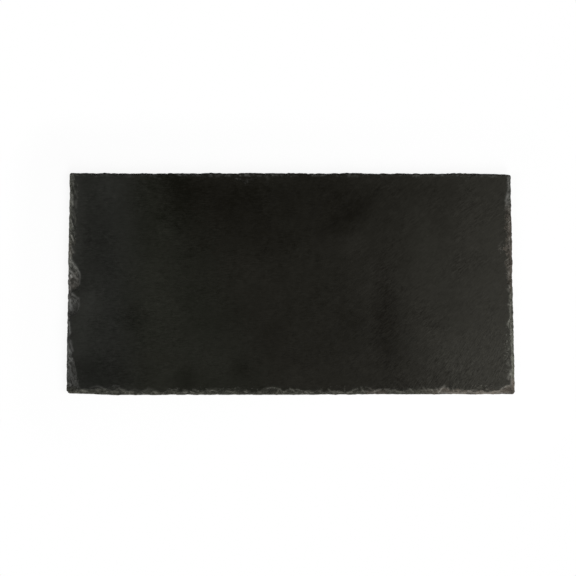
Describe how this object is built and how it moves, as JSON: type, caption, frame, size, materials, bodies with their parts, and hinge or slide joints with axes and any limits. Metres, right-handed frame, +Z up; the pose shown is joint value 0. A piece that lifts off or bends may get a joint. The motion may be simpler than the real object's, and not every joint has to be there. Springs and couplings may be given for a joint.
{
  "type": "serving board",
  "caption": "Rectangular slate serving board with hand-knapped edges, standing on stick-on rubber feet.",
  "frame": {"origin": "centre of the board's footprint, on the surface that its feet stand on", "axes": "+X along the board's length, +Y to its back edge, +Z up out of the serving face"},
  "size_m": [0.4, 0.2, 0.008],
  "materials": {
    "slate": "oiled, split face; rough, paler knapped edges",
    "foot_rubber": "matte moulded",
    "adhesive": "milky acrylic film"
  },
  "bodies": {
    "root": {"slate_slab": "slate", "foot_front_left": "foot_rubber", "foot_front_right": "foot_rubber", "foot_back_left": "foot_rubber", "foot_back_right": "foot_rubber", "adhesive_front_left": "adhesive", "adhesive_front_right": "adhesive", "adhesive_back_left": "adhesive", "adhesive_back_right": "adhesive"}
  },
  "joints": []
}
